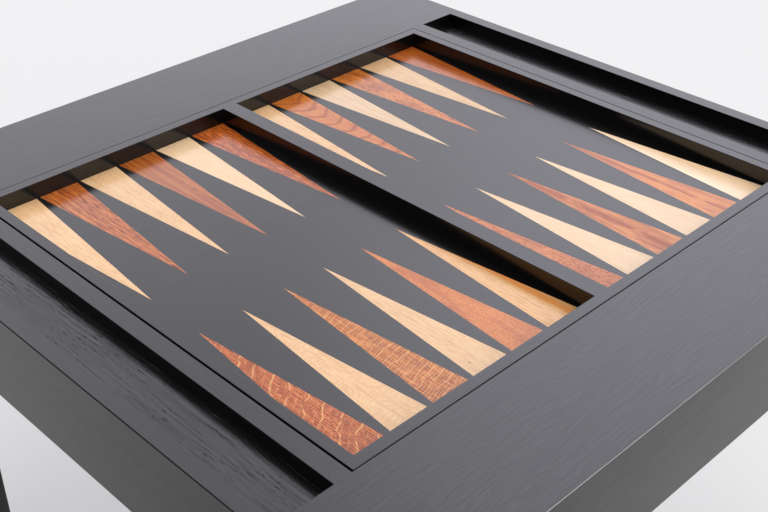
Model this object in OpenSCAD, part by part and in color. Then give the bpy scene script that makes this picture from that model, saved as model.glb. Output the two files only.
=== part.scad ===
// Square game table with a lift-out backgammon tray let into its top.
// The origin is on the floor under the middle of the table. +X is to the near player's
// right, +Y runs away from that player and +Z is up. Sizes are in millimetres.

/* [Tabletop] */
// Width and depth of the square tabletop
table_size = 900; // [890:5:1000]
// Height of the tabletop above the floor
table_height = 750; // [500:10:1000]
// Thickness of the rails, dividers and outer strips of the top
top_t = 25; // [22:1:30]
// Chamfer along the outer edges of the table
outer_arris = 1; // [0.4:0.1:2]
// Chamfer along the mouths of the tray opening, the troughs and the wells
inner_arris = 0.4; // [0.2:0.1:1]

/* [Checker troughs] */
// Width of each checker trough
trough_w = 58; // [40:1:60]
// Depth of each checker trough
trough_depth = 16; // [8:1:18]
// Width of the divider between the tray and a trough
divider_w = 20.5; // [17:0.5:23]

/* [Tray] */
// Width of the lift-out tray
tray_w = 702; // [680:1:706]
// Depth of the lift-out tray
tray_d = 616.5; // [590:0.5:630]
// Thickness of the tray's rims
rim_t = 13; // [8:1:15]
// Width of the bar between the two halves of the board
bar_w = 22; // [12:1:26]
// Depth of the playing surface below the rims
well_depth = 20; // [10:1:22]
// Thickness of the two inlaid playing panels
field_t = 8; // [6:1:10]
// Thickness of the tray's base
base_t = 6; // [4:1:8]
// Total play of the tray in its opening, from left to right
play_x = 2.5; // [1:0.5:3]
// Total play of the tray in its opening, from near to far
play_y = 1.5; // [1:0.5:3]
// Gap on the far and right sides, where the tray is pushed home
rest_gap = 0.5; // [0.3:0.1:0.5]

/* [Points] */
// Width of a point at its base
point_base = 50; // [30:1:52]
// Length of a point
point_length = 250; // [180:1:270]
// Extra length of the far player's first point, which is cut longer than the rest
first_point_extra = 12; // [0:1:20]
// Thickness of the inlaid points
inlay_t = 3; // [1:0.5:4]

/* [Underframe] */
// Width and depth of a leg
leg_w = 80; // [60:1:90]
// Chamfer along the edges of the legs and under the aprons
frame_arris = 0.8; // [0.3:0.1:2]
// Width of the flat on a leg's inner edge, where the hanger bolts go in
leg_flat = 20; // [16:1:28]
// Height of the aprons below the top
apron_h = 90; // [86:1:140]
// Thickness of the aprons
apron_t = 22; // [18:1:28]
// Width of the bearers under the tray opening
bearer_w = 47; // [40:1:50]
// Height of the bearers
bearer_h = 30; // [26:1:34]
// Width of the rebate that the tray rests on
ledge_w = 12; // [6:1:16]
// Thickness of the corner braces
brace_t = 28; // [22:1:32]
// Height of the corner braces
brace_h = 50; // [44:1:54]
// Gap between a leg and its brace, which lets the bolts draw the leg in
brace_gap = 4; // [2:1:6]

/* [Fasteners] */
// Diameter of the hanger bolts
bolt_dia = 8; // [6:1:8]
// Length of a hanger bolt inside the leg
bolt_bite = 45; // [30:1:50]
// Distance between the two hanger bolts of a leg
bolt_spacing = 24; // [20:1:26]
// Diameter of the wood screws' shanks
screw_dia = 4; // [3:0.5:4.5]
// Length of a wood screw
screw_len = 35; // [33:1:36]
// Diameter of the dowels
dowel_dia = 8; // [6:1:10]
// Length of a dowel
dowel_len = 40; // [24:1:50]
// Diameter of the nylon glides
glide_dia = 32; // [24:1:50]
// Height of a glide below its leg
glide_h = 5; // [4:1:8]

/* [Hidden] */
$fn = 48;
eps = 0.01;
hole_gap = 0.05;      // radial clearance of pins, bolts and dowels in their holes
joint_gap = 0.2;      // clearance round a tenon in its mortise
seat_gap = 0.02;      // gap under a washer

half = table_size / 2;
top_z = table_height;
under_z = top_z - top_t;

opening_w = tray_w + play_x;
opening_d = tray_d + play_y;
open_x = opening_w / 2;
open_y = opening_d / 2;
trough_in = open_x + divider_w;
trough_out = trough_in + trough_w;
trough_floor_z = top_z - trough_depth;

tray_hi = [open_x - rest_gap, open_y - rest_gap, top_z];
tray_lo = [tray_hi.x - tray_w, tray_hi.y - tray_d, top_z - well_depth - field_t - base_t];
tray_cx = (tray_lo.x + tray_hi.x) / 2;
field_z = top_z - well_depth;
well_near = tray_lo.y + rim_t;
well_far = tray_hi.y - rim_t;
field_w = (tray_w - 2 * rim_t - bar_w) / 2;
point_pitch = field_w / 6;

leg_seat = leg_w - leg_flat / sqrt(8);          // where the bolts' axis meets the leg's flat
brace_k1 = 2 * leg_seat + brace_gap * sqrt(2);  // x + y of a brace's outer face, from the corner
brace_k2 = brace_k1 + brace_t * sqrt(2);        // x + y of its inner face
washer_at = brace_gap + brace_t + seat_gap;     // where a washer lies along its bolt
brace_z = under_z - bearer_h - brace_h - 5;
bolt_zs = [for (side = [-1, 1]) brace_z + brace_h / 2 + side * bolt_spacing / 2];
bolt_tail = 6;
washer_r = 9;
washer_h = 1.6;
nut_across = 13;
nut_h = 6.5;

screw_r = screw_dia / 2;
screw_head_r = 4;
screw_head_h = 3;
screw_tip_h = 5;
screw_bite = 13;
screw_room = 0.3;     // clearance round a screw's head
bearer_screw_at = [-0.75, -0.25, 0.25, 0.75];   // shares of the half length
tenon_len = 10;
tenon_inset = 8;
dowel_z = (under_z + top_z) / 2;
glide_pin_r = 1.5;
glide_pin_h = 17;

black = [0.13, 0.13, 0.14];
light_oak = [0.90, 0.76, 0.54];
red_oak = [0.66, 0.38, 0.22];
pale_beech = [0.78, 0.66, 0.50];
zinc = [0.72, 0.73, 0.75];
nylon = [0.86, 0.85, 0.82];

rows = ["near", "far"];
sides = ["left", "right"];
point_names = [for (row = rows, i = [1:12]) str(row, "_point_", i)];

// Helpers

// -1 for near or left, +1 for far or right
function sign_of(place) = place == "far" || place == "right" ? 1 : -1;

// Dark points are the odd ones of the near row and the even ones of the far row
function is_dark(row, i) = (row == "near") == (i % 2 == 1);

function point_x(i) = tray_cx + (i <= 6 ? -bar_w / 2 - field_w : bar_w / 2)
    + ((i - 1) % 6 + 0.5) * point_pitch;

function point_len(row, i) = point_length + (row == "far" && i == 1 ? first_point_extra : 0);

module block(lo, hi) {
    translate(lo) cube(hi - lo);
}

// Block whose top edges lean outwards by lean, or inwards where lean is negative
module eased_block(lo, hi, lean) {
    a = abs(lean);
    intersection() {
        translate([0, hi.y + a, 0]) rotate([90, 0, 0]) linear_extrude(hi.y - lo.y + 2 * a)
            polygon(eased_profile(lo.x, hi.x, lo.z, hi.z, lean));
        translate([lo.x - a, 0, 0]) rotate([90, 0, 90]) linear_extrude(hi.x - lo.x + 2 * a)
            polygon(eased_profile(lo.y, hi.y, lo.z, hi.z, lean));
    }
}

function eased_profile(u0, u1, z0, z1, lean) = [
    [u0, z0], [u1, z0], [u1, z1 - abs(lean)], [u1 + lean, z1], [u0 - lean, z1], [u0, z1 - abs(lean)]
];

// Space taken by the whole table: its pieces are cut to this, which eases the outer edges
module table_envelope() {
    intersection() {
        eased_block([-half, -half, 0], [half, half, top_z], -outer_arris);
        rotate([0, 0, 45]) {
            reach = half * sqrt(2) - outer_arris / sqrt(2);
            block([-reach, -reach, 0], [reach, reach, top_z]);
        }
    }
}

// The tray opening and the two troughs, with eased mouths, cut from the top's boards
module top_openings() {
    eased_block([-open_x, -open_y, under_z - 1], [open_x, open_y, top_z + eps], inner_arris);
    for (s = [-1, 1])
        eased_block([s > 0 ? trough_in : -trough_out, -open_y, trough_floor_z],
            [s > 0 ? trough_out : -trough_in, open_y, top_z + eps], inner_arris);
}

// Puts a child that is drawn inwards from a corner at [0, 0] at one of the table's corners
module at_corner(sx, sy) {
    translate([sx * half, sy * half, 0]) mirror([max(sx, 0), 0, 0]) mirror([0, max(sy, 0), 0]) children();
}

module at_all_corners() {
    for (sx = [-1, 1], sy = [-1, 1]) at_corner(sx, sy) children();
}

// Turns a child's +Z to run from a leg's flat towards the middle of the table, at each bolt
module along_bolts() {
    for (z = bolt_zs) translate([leg_seat, leg_seat, z]) rotate([0, 0, 45]) rotate([0, 90, 0]) children();
}

// Puts a child at the tip of each screw that holds a brace to its two aprons
module at_brace_screws() {
    x = (brace_k1 + brace_k2) / 2 - apron_t - 6;
    for (swap = [0, 1], z = bolt_zs)
        mirror([swap, -swap, 0]) translate([x, apron_t - screw_bite - 1, z]) rotate([-90, 0, 0]) children();
}

// Puts a child at the tip of each screw that comes up through a bearer into the top
module at_bearer_screws() {
    for (share = bearer_screw_at, s = [-1, 1]) {
        translate([share * half, s * (open_y + (bearer_w - ledge_w) / 2), under_z + screw_bite])
            rotate([180, 0, 0]) children();
        translate([s * (open_x + divider_w / 2), share * open_y, under_z + screw_bite])
            rotate([180, 0, 0]) children();
    }
}

module wood_screw() {
    difference() {
        union() {
            cylinder(h = screw_tip_h, r1 = 0.4, r2 = screw_r);
            translate([0, 0, screw_tip_h]) cylinder(h = screw_len - screw_head_h - screw_tip_h, r = screw_r);
            translate([0, 0, screw_len - screw_head_h]) cylinder(h = screw_head_h, r = screw_head_r);
        }
        translate([0, 0, screw_len - 1.8]) cylinder(h = 2, r = 2.2, $fn = 6);
    }
}

// Pilot hole and counterbore of a wood screw
module screw_hole() {
    translate([0, 0, -1]) cylinder(h = screw_len, r = screw_r + hole_gap);
    translate([0, 0, screw_len - screw_head_h - eps]) cylinder(h = 30, r = screw_head_r + screw_room);
}

module at_dowels() {
    for (sx = [-1, 1], sy = [-1, 1], x = [open_x + divider_w / 2, (trough_out + half) / 2])
        translate([sx * x, sy * open_y, dowel_z]) rotate([90, 0, 0]) children();
}

module dowel_holes() {
    at_dowels() cylinder(h = dowel_len + 1, r = dowel_dia / 2 + hole_gap, center = true);
}

// Triangle of point i of a row, in plan
module point_outline(row, i) {
    s = sign_of(row);
    y = s > 0 ? well_far : well_near;
    polygon([
        [point_x(i) - point_base / 2, y],
        [point_x(i) + point_base / 2, y],
        [point_x(i), y - s * point_len(row, i)]
    ]);
}

// The tray's outer block less its two wells, from which the rims and bar are cut
module tray_frame() {
    difference() {
        eased_block(tray_lo, tray_hi, -inner_arris);
        for (s = [-1, 1]) {
            near_x = tray_cx + s * bar_w / 2;
            far_x = near_x + s * field_w;
            eased_block([min(near_x, far_x), well_near, tray_lo.z - 1],
                [max(near_x, far_x), well_far, top_z + eps], inner_arris);
        }
    }
}

// Tabletop

module rail(row) {
    s = sign_of(row);
    color(black) difference() {
        intersection() {
            block([-half, s > 0 ? open_y : -half, under_z], [half, s > 0 ? half : -open_y, top_z]);
            table_envelope();
        }
        top_openings();
        dowel_holes();
        at_bearer_screws() screw_hole();
    }
}

module outer_strip(side) {
    s = sign_of(side);
    color(black) difference() {
        intersection() {
            block([s > 0 ? trough_out : -half, -open_y, under_z], [s > 0 ? half : -trough_out, open_y, top_z]);
            table_envelope();
        }
        top_openings();
        dowel_holes();
    }
}

module trough_floor(side) {
    s = sign_of(side);
    color(black) block([s > 0 ? trough_in : -trough_out, -open_y, under_z],
        [s > 0 ? trough_out : -trough_in, open_y, trough_floor_z]);
}

module divider(side) {
    s = sign_of(side);
    color(black) difference() {
        block([s > 0 ? open_x : -trough_in, -open_y, under_z], [s > 0 ? trough_in : -open_x, open_y, top_z]);
        top_openings();
        dowel_holes();
        at_bearer_screws() screw_hole();
    }
}

// Underframe

module apron(place) {
    turn = place == "near" ? 0 : place == "right" ? 90 : place == "far" ? 180 : 270;
    reach = half - leg_w;
    a = frame_arris;
    y = [-half, -half + apron_t];
    z = [under_z - apron_h, under_z];
    color(black) difference() {
        intersection() {
            rotate([0, 0, turn]) translate([-reach, 0, 0]) rotate([90, 0, 90]) linear_extrude(2 * reach)
                polygon([
                    [y[0] + a, z[0]], [y[1] - a, z[0]], [y[1], z[0] + a],
                    [y[1], z[1]], [y[0], z[1]], [y[0], z[0] + a]
                ]);
            table_envelope();
        }
        at_all_corners() at_brace_screws() screw_hole();
        bearer_mortises();
    }
}

// Square post, eased along its four edges and round its foot
module leg_post() {
    a = frame_arris;
    w = leg_w;
    intersection() {
        translate([0, 0, glide_h]) linear_extrude(under_z - glide_h)
            polygon([[a, 0], [w - a, 0], [w, a], [w, w - a], [w - a, w], [a, w], [0, w - a], [0, a]]);
        translate([0, 0, under_z + glide_h]) mirror([0, 0, 1])
            eased_block([0, 0, glide_h], [w, w, under_z], -a);
    }
}

module leg(row, side) {
    color(black) difference() {
        intersection() {
            at_corner(sign_of(side), sign_of(row)) difference() {
                leg_post();
                translate([leg_seat, leg_seat, under_z - apron_h]) rotate([0, 0, 45])
                    block([0, -leg_w / 2, 0], [leg_w / 2, leg_w / 2, apron_h + 1]);
                along_bolts() translate([0, 0, -bolt_bite - 1])
                    cylinder(h = bolt_bite + 2, r = bolt_dia / 2 + hole_gap);
                translate([leg_w / 2, leg_w / 2, glide_h - 1])
                    cylinder(h = glide_pin_h + 2, r = glide_pin_r + hole_gap);
            }
            table_envelope();
        }
    }
}

// Near and far bearers run from apron to apron; the side bearers run between them
module long_bearer(row) {
    s = sign_of(row);
    inner = open_y - ledge_w;
    reach = half - apron_t;
    color(pale_beech) difference() {
        union() {
            block([-reach, s > 0 ? inner : -inner - bearer_w, under_z - bearer_h],
                [reach, s > 0 ? inner + bearer_w : -inner, under_z]);
            bearer_tenon(s, reach);
        }
        block([-open_x, -open_y, tray_lo.z], [open_x, open_y, top_z]);
        side_bearer_mortises();
        at_bearer_screws() screw_hole();
    }
}

module bearer_tenon(s, reach) {
    mid = open_y - ledge_w + bearer_w / 2;
    for (sx = [-1, 1])
        translate([sx * reach, s * mid, under_z - bearer_h / 2])
            cube([2 * tenon_len, bearer_w - 2 * tenon_inset, bearer_h - 2 * tenon_inset], center = true);
}

module bearer_mortises() {
    mid = open_y - ledge_w + bearer_w / 2;
    grow = 2 * joint_gap;
    for (sx = [-1, 1], sy = [-1, 1])
        translate([sx * (half - apron_t), sy * mid, under_z - bearer_h / 2])
            cube([2 * tenon_len + grow, bearer_w - 2 * tenon_inset + grow,
                bearer_h - 2 * tenon_inset + grow], center = true);
}

module side_bearer(side) {
    s = sign_of(side);
    inner = open_x - ledge_w;
    reach = open_y - ledge_w;
    color(pale_beech) difference() {
        union() {
            block([s > 0 ? inner : -inner - bearer_w, -reach, under_z - bearer_h],
                [s > 0 ? inner + bearer_w : -inner, reach, under_z]);
            side_tenons(s, 0);
        }
        block([-open_x, -open_y, tray_lo.z], [open_x, open_y, top_z]);
        at_bearer_screws() screw_hole();
    }
}

module side_tenons(s, grow) {
    mid = open_x - ledge_w + bearer_w / 2;
    z = (under_z - bearer_h + tray_lo.z) / 2;
    for (sy = [-1, 1])
        translate([s * mid, sy * (open_y - ledge_w), z])
            cube([bearer_w - 2 * tenon_inset + grow, 2 * tenon_len + grow,
                tray_lo.z - under_z + bearer_h - tenon_inset + grow], center = true);
}

module side_bearer_mortises() {
    for (s = [-1, 1]) side_tenons(s, 2 * joint_gap);
}

module corner_braces() {
    color(pale_beech) at_all_corners() difference() {
        translate([0, 0, brace_z]) linear_extrude(brace_h) polygon([
            [brace_k1 - apron_t, apron_t], [brace_k2 - apron_t, apron_t],
            [apron_t, brace_k2 - apron_t], [apron_t, brace_k1 - apron_t]
        ]);
        along_bolts() cylinder(h = brace_gap + brace_t + 5, r = bolt_dia / 2 + 0.5);
        at_brace_screws() screw_hole();
    }
}

// Fasteners and feet

module hanger_bolts() {
    inside = washer_at + washer_h + nut_h + bolt_tail;
    r = bolt_dia / 2;
    color(zinc) at_all_corners() along_bolts() {
        translate([0, 0, -bolt_bite]) cylinder(h = 4, r1 = 1.5, r2 = r);
        translate([0, 0, 4 - bolt_bite]) cylinder(h = bolt_bite + inside - 5, r = r);
        translate([0, 0, inside - 1]) cylinder(h = 1, r1 = r, r2 = r - 0.8);
    }
}

module washers() {
    color(zinc) at_all_corners() along_bolts() translate([0, 0, washer_at]) difference() {
        cylinder(h = washer_h, r = washer_r);
        translate([0, 0, -1]) cylinder(h = washer_h + 2, r = bolt_dia / 2 + 0.3);
    }
}

module hex_nuts() {
    color(zinc) at_all_corners() along_bolts() translate([0, 0, washer_at + washer_h]) difference() {
        cylinder(h = nut_h, r = nut_across / 2 / cos(30), $fn = 6);
        translate([0, 0, -1]) cylinder(h = nut_h + 2, r = bolt_dia / 2 + hole_gap);
    }
}

module wood_screws() {
    color(zinc) {
        at_all_corners() at_brace_screws() wood_screw();
        at_bearer_screws() wood_screw();
    }
}

module dowels() {
    color(pale_beech) at_dowels() cylinder(h = dowel_len, r = dowel_dia / 2, center = true);
}

module foot_glides() {
    r = glide_dia / 2;
    color(nylon) at_all_corners() translate([leg_w / 2, leg_w / 2, 0]) {
        cylinder(h = 2, r1 = r - 2, r2 = r);
        translate([0, 0, 2]) cylinder(h = glide_h - 2, r = r);
        translate([0, 0, glide_h]) cylinder(h = glide_pin_h - 3, r = glide_pin_r);
        translate([0, 0, glide_h + glide_pin_h - 3]) cylinder(h = 3, r1 = glide_pin_r, r2 = 0.3);
    }
}

// Lift-out tray

module tray_base() {
    color(black) block([tray_lo.x + rim_t, well_near, tray_lo.z],
        [tray_hi.x - rim_t, well_far, tray_lo.z + base_t]);
}

module field(side) {
    s = sign_of(side);
    near_x = tray_cx + s * bar_w / 2;
    far_x = near_x + s * field_w;
    color(black) difference() {
        block([min(near_x, far_x), well_near, field_z - field_t], [max(near_x, far_x), well_far, field_z]);
        for (row = rows, i = [1:6])
            translate([0, 0, field_z - inlay_t]) linear_extrude(inlay_t + 1)
                point_outline(row, s > 0 ? i + 6 : i);
    }
}

module tray_bar() {
    color(black) intersection() {
        tray_frame();
        block([tray_cx - bar_w / 2, well_near, tray_lo.z + base_t], [tray_cx + bar_w / 2, well_far, top_z]);
    }
}

// Plan of one rim, mitred at both ends
module rim_outline(place) {
    x = [tray_lo.x, tray_lo.x + rim_t, tray_hi.x - rim_t, tray_hi.x];
    y = [tray_lo.y, well_near, well_far, tray_hi.y];
    if (place == "near") polygon([[x[0], y[0]], [x[3], y[0]], [x[2], y[1]], [x[1], y[1]]]);
    if (place == "far") polygon([[x[0], y[3]], [x[3], y[3]], [x[2], y[2]], [x[1], y[2]]]);
    if (place == "left") polygon([[x[0], y[0]], [x[1], y[1]], [x[1], y[2]], [x[0], y[3]]]);
    if (place == "right") polygon([[x[3], y[0]], [x[2], y[1]], [x[2], y[2]], [x[3], y[3]]]);
}

module tray_rim(place) {
    color(black) intersection() {
        tray_frame();
        translate([0, 0, tray_lo.z - 1]) linear_extrude(top_z - tray_lo.z + 2) rim_outline(place);
    }
}

module point(row, i) {
    color(is_dark(row, i) ? red_oak : light_oak)
        translate([0, 0, field_z - inlay_t]) linear_extrude(inlay_t) point_outline(row, i);
}

for (row = rows) {
    rail(row);
    long_bearer(row);
    for (side = sides) leg(row, side);
    for (i = [1:12]) point(row, i);
}
for (side = sides) {
    outer_strip(side);
    trough_floor(side);
    divider(side);
    side_bearer(side);
    field(side);
}
for (place = concat(rows, sides)) {
    apron(place);
    tray_rim(place);
}
corner_braces();
hanger_bolts();
washers();
hex_nuts();
wood_screws();
dowels();
foot_glides();
tray_base();
tray_bar();
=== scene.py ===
"""Looks of the backgammon table: black-lacquered oak with 24 inlaid points, in a pale studio.

Lengths are in metres, in the row's frame. A CAD node's object sits at the origin, so the Object texture
coordinates of its material are places in that frame, and they move with the node's body.
"""

from math import cos, radians, sin

import bpy
from mathutils import Matrix, Vector


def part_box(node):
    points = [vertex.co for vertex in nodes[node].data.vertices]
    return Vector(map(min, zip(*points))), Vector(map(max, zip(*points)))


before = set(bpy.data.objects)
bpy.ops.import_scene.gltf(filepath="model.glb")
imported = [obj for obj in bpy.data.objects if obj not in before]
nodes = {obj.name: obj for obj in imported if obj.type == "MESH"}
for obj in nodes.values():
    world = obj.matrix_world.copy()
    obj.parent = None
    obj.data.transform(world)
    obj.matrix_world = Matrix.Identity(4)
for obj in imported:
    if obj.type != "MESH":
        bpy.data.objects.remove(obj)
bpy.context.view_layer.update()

MM = 0.001

LACQUER_IOR = 1.5
LACQUER_ROUGHNESS = 0.2
HIGHLIGHT_IOR_GAIN = 1.45  # painted highlight: what the chamfers of the top's outer edges add to the lacquer's index, so that they shine
SIDE_SHADE_DULLNESS = 0.49  # painted shade: the share of the gloss that the left and right faces of the table lack
ARRIS = 0.8  # chamfer of the table's outer edges, in millimetres

# Linear colours of the black stain: on the tray and the top, in open pores, on the legs and aprons, and on the
# left and right faces of the table, which are browner and carry painted shade through less gloss
BLACK = (0.0022, 0.0020, 0.0021)
PORE_BLACK = (0.0006, 0.0005, 0.0005)
FRAME_BLACK = (0.0065, 0.0060, 0.0056)
SIDE_SHADED_BLACK = (0.0135, 0.0095, 0.0080)

# The outer faces of the table, and its top, in millimetres
table_low, table_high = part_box("near_rail")
OUTER_X = table_high.x / MM
OUTER_Y = -table_low.y / MM
TOP_Z = table_high.z / MM


# Node graphs


class Value:
    """One output of a node graph. Arithmetic on it adds Math nodes."""

    def __init__(self, graph, socket):
        self.graph = graph
        self.socket = socket

    def __add__(self, other):
        return self.graph.math("ADD", self, other)

    def __radd__(self, other):
        return self.graph.math("ADD", other, self)

    def __sub__(self, other):
        return self.graph.math("SUBTRACT", self, other)

    def __rsub__(self, other):
        return self.graph.math("SUBTRACT", other, self)

    def __mul__(self, other):
        return self.graph.math("MULTIPLY", self, other)

    def __rmul__(self, other):
        return self.graph.math("MULTIPLY", other, self)

    def __truediv__(self, other):
        return self.graph.math("DIVIDE", self, other)


class Graph:
    """A node tree, with short calls for the nodes that the materials and the studio share."""

    def __init__(self, owner):
        owner.use_nodes = True
        self.owner = owner
        self.nodes = owner.node_tree.nodes
        self.links = owner.node_tree.links

    def put(self, socket, value):
        if isinstance(value, Value):
            self.links.new(value.socket, socket)
        elif socket.type == "RGBA":
            socket.default_value = (*value, 1.0)
        else:
            socket.default_value = value

    def add(self, kind, inputs, output=0, **settings):
        node = self.nodes.new("ShaderNode" + kind)
        for key, setting in settings.items():
            setattr(node, key, setting)
        for key, value in inputs.items():
            self.put(node.inputs[key], value)
        return Value(self, node.outputs[output])

    def math(self, operation, a, b=0.0):
        return self.add("Math", {0: a, 1: b}, operation=operation)

    def size(self, value):
        return self.math("ABSOLUTE", value)

    def place(self):
        """x, y and z of the point, in millimetres in the row's frame."""
        parts = self.nodes.new("ShaderNodeSeparateXYZ")
        self.put(parts.inputs[0], self.add("TexCoord", {}, output="Object"))
        return [Value(self, out) * 1000.0 for out in parts.outputs]

    def noise(self, x, y, z, detail=2.0):
        """Soft noise from 0 to 1 with features about one unit across."""
        vector = self.add("CombineXYZ", {0: x, 1: y, 2: z})
        return self.add("TexNoise", {"Vector": vector, "Scale": 1.0, "Detail": detail})

    def step(self, value, low, high, bottom=0.0, top=1.0):
        """Runs smoothly from bottom at low to top at high; low may be the higher one."""
        inputs = {0: value, 1: low, 2: high, 3: bottom, 4: top}
        return self.add("MapRange", inputs, interpolation_type="SMOOTHSTEP")

    def wave(self, value):
        """0 at each whole number, 0.5 halfway between them."""
        return self.math("PINGPONG", value, 0.5)

    def mix(self, share, a, b, blend="MIX"):
        node = self.nodes.new("ShaderNodeMix")
        node.data_type = "RGBA"
        node.blend_type = blend
        node.clamp_factor = False
        self.put(node.inputs[0], share)
        self.put(node.inputs[6], a)
        self.put(node.inputs[7], b)
        return Value(self, node.outputs[2])


class Finish(Graph):
    """A material's graph."""

    def __init__(self, name):
        super().__init__(bpy.data.materials.new(name))

    def shade(self, color, roughness, specular=0.5, relief=None, depth=0.0, metallic=0.0, ior=LACQUER_IOR):
        """Sets the surface. relief runs from 0 to 1 over depth millimetres."""
        shader = self.nodes["Principled BSDF"]
        inputs = {"Base Color": color, "Roughness": roughness, "Specular IOR Level": specular,
                  "Metallic": metallic, "IOR": ior}
        if relief:
            inputs["Normal"] = self.add("Bump", {"Height": relief, "Distance": depth * MM})
        for key, value in inputs.items():
            self.put(shader.inputs[key], value)
        return self.owner


# Wood. The grain's own coordinates are across, along and deep, in millimetres

RING_GAP = 5.0
PITH = (60.0, 620.0)  # where the first piece's pith passes, across and deep
PITH_LEAN = (0.0, 0.03)  # how far the pith leans across and deep, for each unit along
PIECE_GAP = 400.0  # how far apart in the log two pieces with successive seeds lie


def grain_axes(g, along):
    x, y, z = g.place()
    return {"x": (y, x, z), "y": (x, y, z), "z": (x, z, y)}[along]


def rings(g, across, along, deep, pith, wobble):
    """Growth rings, as the distance from the log's pith in rings, with pith = (across, deep)."""
    side = across - pith[0] - along * PITH_LEAN[0]
    below = deep - pith[1] - along * PITH_LEAN[1]
    radius = g.math("SQRT", side * side + below * below)
    wander = g.noise(across / 40, along / 120, deep / 40, detail=3.0) - 0.5
    return radius / RING_GAP + wander * (2 * wobble)


def dashes(g, across, along, deep, width, length, share):
    """Open pores: dashes of that width and length over about that share of the surface."""
    field = g.noise(across / width, along / length, deep / width, detail=1.0)
    edge = 0.5 + 0.4 * (0.5 - share)
    return g.step(field, edge, edge + 0.09)


def black_wood(name, along, seed, pores=0.2, lines=0.4, stain=BLACK, wobble=1.5, sheen=0.5, depth=0.03,
               arris=None, hairs=0.0):
    """Satin black lacquer on open-grained oak, with the grain along one axis. pores, lines and hairs weigh the
    open pores, the grain's lines and thin raised hairs. arris = (across, deep) is where the chamfers of the long
    edges start; they get a higher index, a painted highlight. The left and right faces of the table get painted
    shade: they are duller and a little browner."""
    g = Finish(name)
    across, run, deep = grain_axes(g, along)
    x = {"x": run, "y": across, "z": across}[along]
    # side marks the left and right faces of the table, which get painted shade: less gloss and a browner stain
    side = g.step(g.size(x), OUTER_X - 0.3, OUTER_X - 0.1)
    ior = LACQUER_IOR
    # painted highlight: the chamfers of the long outer edges get a higher index, so that they shine brighter
    if arris:
        inside = g.math("MINIMUM", g.size(across) - arris[0], deep - arris[1])
        ior = ior + g.step(inside, 0.0, 0.1) * HIGHLIGHT_IOR_GAIN
    deep = deep + PIECE_GAP * seed
    pith = (PITH[0], PITH[1] + PIECE_GAP * seed)
    drift = (g.noise(across / 60, run / 150, deep / 60, detail=1.0) - 0.5) * 30.0
    across_grain = across + drift
    ring = rings(g, across, run, deep, pith, wobble)
    late = g.step(g.wave(ring), 0.10, 0.40)
    fine = g.noise(across_grain / 1.2, run / 36, deep / 1.2, detail=2.0)
    band = g.noise(across_grain / 5, run / 150, deep / 5, detail=2.0)
    short_pore = dashes(g, across_grain, run, deep, 0.7, 9.0, 0.22)
    long_pore = dashes(g, across_grain, run, deep, 1.0, 40.0, 0.10)
    patch = g.step(g.noise(across / 16, run / 60, deep / 16), 0.32, 0.62)
    pore = g.math("MAXIMUM", short_pore * (1.0 - 0.8 * late) * 0.7, long_pore * 0.8) * patch
    grain = (late - 0.5) * 0.35 + (fine - 0.5) * 1.6 + (band - 0.5) * 0.6
    # painted shade: the left and right faces lose part of their gloss
    specular = (sheen + grain * (0.2 * lines) - pore * (0.45 * pores)) * (1.0 - SIDE_SHADE_DULLNESS * side)
    roughness = LACQUER_ROUGHNESS + pore * (0.25 * pores) + (band - 0.5) * (0.08 * lines)
    relief = fine * (1.4 * lines) + band * (1.5 * lines) + late * (0.3 * lines) - pore * (1.2 * pores)
    if hairs:
        thread = g.noise(across_grain / 3, run / 300, deep / 3, detail=1.0)
        relief = relief + g.step(g.size(thread - 0.5), 0.02, 0.0) * hairs
    color = g.mix(0.5 + grain * (1.2 * lines), [0.5 * part for part in stain], [1.5 * part for part in stain])
    # the left and right faces take the browner stain that goes with their painted shade
    color = g.mix(side, color, SIDE_SHADED_BLACK)
    return g.shade(g.mix(pore, color, PORE_BLACK), roughness, specular, relief, depth, ior=ior)


def beech(name, along):
    """Bare steamed beech: pale pink-brown with short dark flecks."""
    g = Finish(name)
    across, run, deep = grain_axes(g, along)
    band = g.noise(across / 9, run / 300, deep / 9, detail=3.0)
    fine = g.noise(across / 0.7, run / 18, deep / 0.7)
    fleck = dashes(g, across, run, deep, 0.9, 4.0, 0.10)
    color = g.mix(band, (0.46, 0.28, 0.15), (0.62, 0.41, 0.24))
    color = g.mix(fleck * 0.6, color, (0.28, 0.14, 0.07))
    return g.shade(color, 0.55 + (fine - 0.5) * 0.15, 0.4, fine - fleck, 0.05)


# Woods of the inlaid points: the colour between the grain's lines, and the colour in them
WHITE_ASH = ((0.89, 0.65, 0.43), (0.81, 0.57, 0.35))
CREAM = ((0.725, 0.515, 0.31), (0.61, 0.395, 0.21))
ASH = ((0.715, 0.46, 0.235), (0.57, 0.32, 0.14))
OAK = ((0.73, 0.41, 0.165), (0.56, 0.255, 0.07))
RED_OAK = ((0.60, 0.155, 0.018), (0.37, 0.064, 0.007))
ROSE_OAK = ((0.51, 0.145, 0.018), (0.34, 0.072, 0.008))
AMBER_OAK = ((0.56, 0.18, 0.015), (0.38, 0.085, 0.006))
ORANGE_OAK = ((0.59, 0.18, 0.018), (0.37, 0.078, 0.007))

PALE_RAY = (0.74, 0.38, 0.13)
DARK_PORE = (0.14, 0.035, 0.018)
DARK_STREAK = (0.27, 0.060, 0.020)
KNOT_BROWN = (0.30, 0.06, 0.03)

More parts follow.
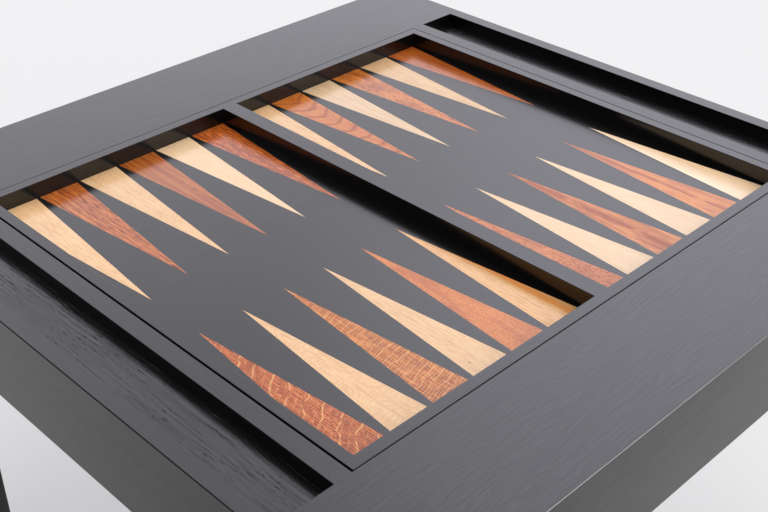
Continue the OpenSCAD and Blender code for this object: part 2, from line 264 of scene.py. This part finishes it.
# Each point's wood: its palette, the weight of its lines, fibre and mottling, then what is drawn on it, in
# millimetres. A colour of None is a darker shade of the palette's second colour.
# pores: (width, length, share of the surface, strength, colour)
# comb, dark rows along the grain: (gap, strength, colour)
# rays, one tuple for each set: (angle to the base in degrees, gap, bend, width, strength)
# arches: (gap, slope, width, strength, wander, colour)
# streaks, along the grain: (place across the middle, width, strength)
# knot: (place across the middle, place above the base)
POINT_WOODS = {
    "near_point_1": dict(wood=RED_OAK, fibre=0.4, pores=(1.1, 4, 0.45, 0.65, None), comb=(2.6, 0.75, None),
                         rays=[(40, 18, 7, 1.3, 0.65), (38, 7, 5, 0.6, 0.3)], tint=0.99),
    "near_point_2": dict(wood=ASH, lines=0.3, fibre=0.4, arches=(7.5, 1.2, 4.6, 0.5, 3.2, None)),
    "near_point_3": dict(wood=AMBER_OAK, lines=0.7, fibre=0.6, pores=(1.1, 5, 0.4, 0.4, None),
                         comb=(2.8, 0.9, None), rays=[(13, 9, 5, 1.2, 0.45), (15, 3.6, 2, 0.8, 0.35)],
                         tint=1.06),
    "near_point_4": dict(wood=ASH, lines=0.3, fibre=0.35, comb=(1.6, 0.2, None), knot=(-11, 32)),
    "near_point_5": dict(wood=ORANGE_OAK, mottle=0.4, pores=(1.0, 3, 0.45, 0.5, None), streaks=[(2, 8, 0.35)],
                         streak_color=RED_OAK[1]),
    "near_point_6": dict(wood=OAK, lines=0.4, fibre=0.5, streaks=[(13, 9, 0.85)],
                         streak_color=(0.72, 0.245, 0.055), tint=0.97),
    "near_point_7": dict(wood=ROSE_OAK, mottle=0.5, pores=(1.4, 4, 0.45, 0.6, None), tint=1.03),
    "near_point_8": dict(wood=CREAM, lines=0.15, fibre=0.25, mottle=0.15, tint=0.965),
    "near_point_9": dict(wood=AMBER_OAK, lines=0.6, fibre=0.5, mottle=0.4, comb=(4.5, 0.3, DARK_PORE),
                         streaks=[(-11, 6, 0.6), (0, 15, 0.85), (14, 5, 0.5)], tint=1.1),
    "near_point_10": dict(wood=CREAM, lines=0.1, fibre=0.15, mottle=0.2, tint=0.985),
    "near_point_11": dict(wood=AMBER_OAK, lines=0.3, fibre=0.3, mottle=0.4, streaks=[(0, 6, 0.8), (13, 5, 0.4)],
                          tint=1.08),
    "near_point_12": dict(wood=WHITE_ASH, lines=0.4, line_gap=7.0, fibre=0.2, streaks=[(13, 15, 0.9)],
                          streak_color=(0.96, 0.67, 0.36)),
    "far_point_1": dict(wood=ASH, lines=0.15, fibre=0.4, tint=1.05),
    "far_point_2": dict(wood=ROSE_OAK, lines=0.9, line_gap=3.4, fibre=0.5, comb=(3.2, 0.5, DARK_PORE),
                        pores=(1.6, 24, 0.33, 0.75, DARK_PORE), tint=1.05),
    "far_point_3": dict(wood=ASH, lines=0.2, fibre=0.3, tint=0.98, rays=[(-40, 6, 3, 1.2, 0.2)],
                        ray_color=(0.76, 0.58, 0.36)),
    "far_point_4": dict(wood=ROSE_OAK, lines=0.8, line_gap=8.0, fibre=0.4, tint=0.77),
    "far_point_5": dict(wood=CREAM, lines=0.1, fibre=0.2, mottle=0.1, tint=1.03),
    "far_point_6": dict(wood=RED_OAK, lines=0.7, line_gap=3.0, fibre=0.6, comb=(3.4, 0.95, None), tint=1.03),
    "far_point_7": dict(wood=ASH, lines=0.2, fibre=0.4),
    "far_point_8": dict(wood=ORANGE_OAK, lines=0.2, fibre=0.3,
                        arches=(27, 0.9, 8.0, 0.62, 0.3, (0.26, 0.065, 0.025)), tint=0.93),
    "far_point_9": dict(wood=CREAM, lines=0.3, line_gap=9.0, fibre=0.2, tint=0.88),
    "far_point_10": dict(wood=ORANGE_OAK, mottle=0.8, pores=(2.0, 6, 0.4, 0.5, None), tint=0.88,
                         rays=[(-55, 22, 4, 2.0, 0.1)]),
    "far_point_11": dict(wood=ASH, lines=0.2, fibre=0.3, tint=0.88),
    "far_point_12": dict(wood=RED_OAK, lines=0.5, fibre=0.4, line_gap=5.0, tint=0.72),
}


def ray_set(g, u, v, seed, angle, gap, bend, width):
    """Pale ribbons that cross the grain at an angle, as medullary rays do on a quartered face."""
    turn = radians(angle)
    rise = v * cos(turn) - u * sin(turn)
    run = u * cos(turn) + v * sin(turn)
    wander = g.noise(run / 22, rise / 30, seed, detail=1.0) - 0.5
    lane = (rise + wander * (2 * bend)) / gap
    fade = g.noise(run / 14, rise / gap, seed + 7.0, detail=1.0)
    return g.step(g.wave(lane), width / gap, 0.3 * width / gap) * g.step(fade, 0.38, 0.55)


def arch_set(g, u, v, seed, gap, slope, width, wander):
    """Growth rings cut across as arches that point to the tip."""
    crest = g.math("SQRT", u * u + 12.0) * slope
    drift = g.noise(u / 14, v / 30, seed, detail=1.0) - 0.5
    lane = (v + crest) / gap + drift * (2 * wander)
    return g.step(g.wave(lane), 0.6 * width / gap, 0.2 * width / gap)


def inlay_wood(name, middle, base, side, seed, wood, lines=0.2, line_gap=2.4, fibre=0.2, mottle=0.2, tint=1.0,
               pores=None, comb=None, rays=(), ray_color=PALE_RAY, arches=None, streaks=(),
               streak_color=DARK_STREAK, knot=None):
    """An inlaid point, with u across and v from its base towards its tip. side is +1 where the tip is at +Y.
    Dark marks are duller than the wood round them."""
    g = Finish(name)
    x, y, z = g.place()
    u = x - middle
    v = (y - base) * side
    w = z + 40.0 * seed
    pale, deep = ([tint * part for part in color] for color in wood)
    drift = g.noise(v / 70, u / 30, w / 30) * 5.0
    line = g.noise((u + drift) / (0.5 * line_gap), v / 150, w / line_gap, detail=2.0)
    fine = g.noise(u / 0.9, v / 14, w / 0.8, detail=2.0)
    cloud = g.noise(u / 14, v / 40, w / 14, detail=3.0)
    share = 0.4 + (line - 0.5) * (5.0 * lines) + (fine - 0.5) * (5.0 * fibre) + (cloud - 0.5) * (4.0 * mottle)
    color = g.mix(g.step(share, 0.0, 1.0), pale, deep)
    relief = fine * 0.5
    specular = 0.5
    if arches:
        gap, slope, width, strength, wander, dark = arches
        arch = arch_set(g, u, v, seed, gap, slope, width, wander)
        color = g.mix(arch * strength, color, dark or deep)
        if dark:
            specular = specular - arch * (0.3 * strength)
    if comb:
        gap, strength, dark = comb
        broken = g.step(g.noise(u / gap, v / 14, seed, detail=1.0), 0.34, 0.52)
        row = g.step(g.wave((u + drift * 0.5) / gap), 0.36, 0.12) * broken
        color = g.mix(row * strength, color, dark or [0.4 * part for part in deep])
        specular = specular - row * (0.2 * strength)
    if pores:
        width, length, cover, strength, dark = pores
        pore = dashes(g, u + drift, v, w, width, length, cover)
        color = g.mix(pore * strength, color, dark or [0.6 * part for part in deep])
        relief = relief - pore * strength
        specular = specular - pore * (0.35 * strength)
    for number, (angle, gap, bend, width, strength) in enumerate(rays):
        ray = ray_set(g, u, v, seed + 20.0 * number, angle, gap, bend, width)
        color = g.mix(ray * strength, color, ray_color)
    for at, width, strength in streaks:
        off = g.size(u + drift - (at + 2.5)) + (fine - 0.5) * width
        streak = g.step(off, 0.7 * width, 0.0) * g.step(cloud, 0.30, 0.50) * strength
        color = g.mix(streak, color, streak_color)
        if streak_color is DARK_STREAK:
            specular = specular - streak * 0.25
    if knot:
        off_u = (u - knot[0]) / 1.3
        off_v = (v - knot[1]) / 3.0
        color = g.mix(g.step(off_u * off_u + off_v * off_v, 1.0, 0.1) * 0.8, color, KNOT_BROWN)
    return g.shade(color, LACQUER_ROUGHNESS + (fine - 0.5) * 0.05, specular, relief, 0.012)


def dress_points():
    for number, (name, look) in enumerate(POINT_WOODS.items()):
        low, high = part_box(name)
        near = name.startswith("near")
        middle = (low.x + high.x) / 2 / MM
        base = (low.y if near else high.y) / MM
        dress(name, inlay_wood(name, middle, base, 1 if near else -1, number + 1.0, **look))


# Metal and plastic


def zinc():
    """Bright zinc plate, a little cloudy."""
    g = Finish("zinc_plate")
    x, y, z = g.place()
    cloud = g.noise(x / 3, y / 3, z / 3, detail=3.0)
    color = g.mix(cloud, (0.50, 0.51, 0.54), (0.66, 0.67, 0.68))
    return g.shade(color, 0.28 + (cloud - 0.5) * 0.2, 0.5, cloud, 0.02, metallic=1.0)


def nylon():
    """Moulded natural nylon."""
    g = Finish("nylon")
    x, y, z = g.place()
    grain = g.noise(x / 0.7, y / 0.7, z / 0.7)
    color = g.mix(grain, (0.62, 0.60, 0.55), (0.70, 0.68, 0.63))
    return g.shade(color, 0.45, 0.5, grain, 0.02, ior=1.53)


# Putting the materials on the CAD nodes


def dress(name, material):
    slots = nodes[name].data.materials
    if not slots:
        slots.append(material)
    for index in range(len(slots)):
        slots[index] = material


def dress_table():
    for place, seed in (("near", 1), ("far", 2)):
        dress(place + "_rail", black_wood(place + "_rail_wood", "x", seed, pores=0.08, lines=0.5, wobble=4.0,
                                         arris=(OUTER_Y - ARRIS, TOP_Z - ARRIS)))
        dress(place + "_apron", black_wood(place + "_apron_wood", "x", seed + 2, pores=0.15, lines=0.5,
                                          stain=FRAME_BLACK, sheen=0.46))
        dress(place + "_bearer", beech(place + "_bearer_beech", "x"))
        for side in ("left", "right"):
            name = place + "_" + side + "_leg"
            dress(name, black_wood(name + "_wood", "z", seed + len(side), pores=0.4, lines=0.8,
                                  stain=FRAME_BLACK))
    for side, seed in (("left", 9), ("right", 10)):
        dress(side + "_outer_strip", black_wood(side + "_strip_wood", "y", seed, pores=0.25))
        grain = 1.1 if side == "left" else 0.4
        dress(side + "_trough_floor", black_wood(side + "_trough_wood", "y", seed + 2, pores=1.2 * grain,
                                                 lines=0.7 * grain, depth=0.04, hairs=2.0 * grain))
        dress(side + "_divider", black_wood(side + "_divider_wood", "y", seed + 4, pores=0.25))
        dress(side + "_apron", black_wood(side + "_apron_wood", "y", seed + 6, pores=0.15, lines=0.5,
                                          stain=FRAME_BLACK, sheen=0.46))
        dress(side + "_bearer", beech(side + "_bearer_beech", "y"))
    dress("corner_braces", beech("brace_beech", "z"))
    dress("dowels", beech("dowel_beech", "y"))
    plate = zinc()
    for name in ("hanger_bolts", "washers", "hex_nuts", "wood_screws"):
        dress(name, plate)
    dress("foot_glides", nylon())


def dress_tray():
    for place, along, seed in (("near", "x", 20), ("far", "x", 21), ("left", "y", 22), ("right", "y", 23)):
        dress("tray_" + place + "_rim", black_wood("tray_" + place + "_wood", along, seed, pores=0.08, lines=0.3))
    dress("tray_bar", black_wood("tray_bar_wood", "y", 24, pores=0.08, lines=0.3))
    dress("tray_base", black_wood("tray_base_wood", "x", 25))
    for side, seed in (("left", 26), ("right", 27)):
        dress(side + "_field", black_wood(side + "_field_wood", "x", seed, pores=0.06, lines=0.25, depth=0.02))
    dress_points()


# Studio

FLOOR_WIDTH = 40.0


def studio_floor():
    g = Finish("studio_paper")
    g.shade((0.66, 0.657, 0.643), 0.9, 0.1)
    bpy.ops.mesh.primitive_plane_add(size=FLOOR_WIDTH, location=(0.0, 0.0, 0.0))
    floor = bpy.context.object
    floor.name = "studio_floor"
    floor.data.materials.append(g.owner)


# The white room around the table: how bright it is in all directions, and each softer or harder light in it as
# its direction, the angles in degrees where it starts and is full, its strength and its colour
ROOM = (0.36, 0.36, 0.38)
LIGHTS = (
    ((0.63, 0.53, 0.57), 55.0, 25.0, 1.48, (1.01, 0.99, 1.09)),
    ((0.15, -0.75, 0.64), 65.0, 25.0, 1.56, (1.0, 0.99, 0.975)),
    ((0.662, 0.374, 0.649), 19.5, 4.0, 1.13, (0.95, 1.0, 1.14)),
)


def studio_light():
    world = bpy.data.worlds.new("studio")
    bpy.context.scene.world = world
    g = Graph(world)
    toward = g.add("TexCoord", {}, output="Generated")
    color = g.mix(1.0, ROOM, ROOM)
    for direction, start, full, strength, tint in LIGHTS:
        facing = g.add("VectorMath", {0: toward, 1: Vector(direction).normalized()}, output="Value",
                       operation="DOT_PRODUCT")
        amount = g.step(facing, cos(radians(start)), cos(radians(full)), 0.0, strength)
        color = g.mix(amount, color, tint, "ADD")
    g.put(g.nodes["Background"].inputs["Color"], color)


def studio_camera():
    """Over the near left corner of the table, looking down across the tray."""
    eye = (-0.8483, -0.8545, 1.4386)
    yaw, pitch, roll = 0.77434, 0.57600, -0.00449
    forward = Vector((sin(yaw) * cos(pitch), cos(yaw) * cos(pitch), -sin(pitch)))
    level = Vector((cos(yaw), -sin(yaw), 0.0))
    rise = level.cross(forward)
    right = cos(roll) * level + sin(roll) * rise
    up = cos(roll) * rise - sin(roll) * level
    data = bpy.data.cameras.new("camera")
    data.sensor_width = 36.0
    data.lens = 56.98
    data.clip_end = 100.0
    camera = bpy.data.objects.new("camera", data)
    bpy.context.scene.collection.objects.link(camera)
    turn = Matrix((right, up, -forward)).transposed().to_4x4()
    camera.matrix_world = Matrix.Translation(eye) @ turn
    bpy.context.scene.camera = camera


studio_camera()
studio_floor()
studio_light()
dress_table()
dress_tray()
bpy.context.scene.view_settings.view_transform = "Standard"
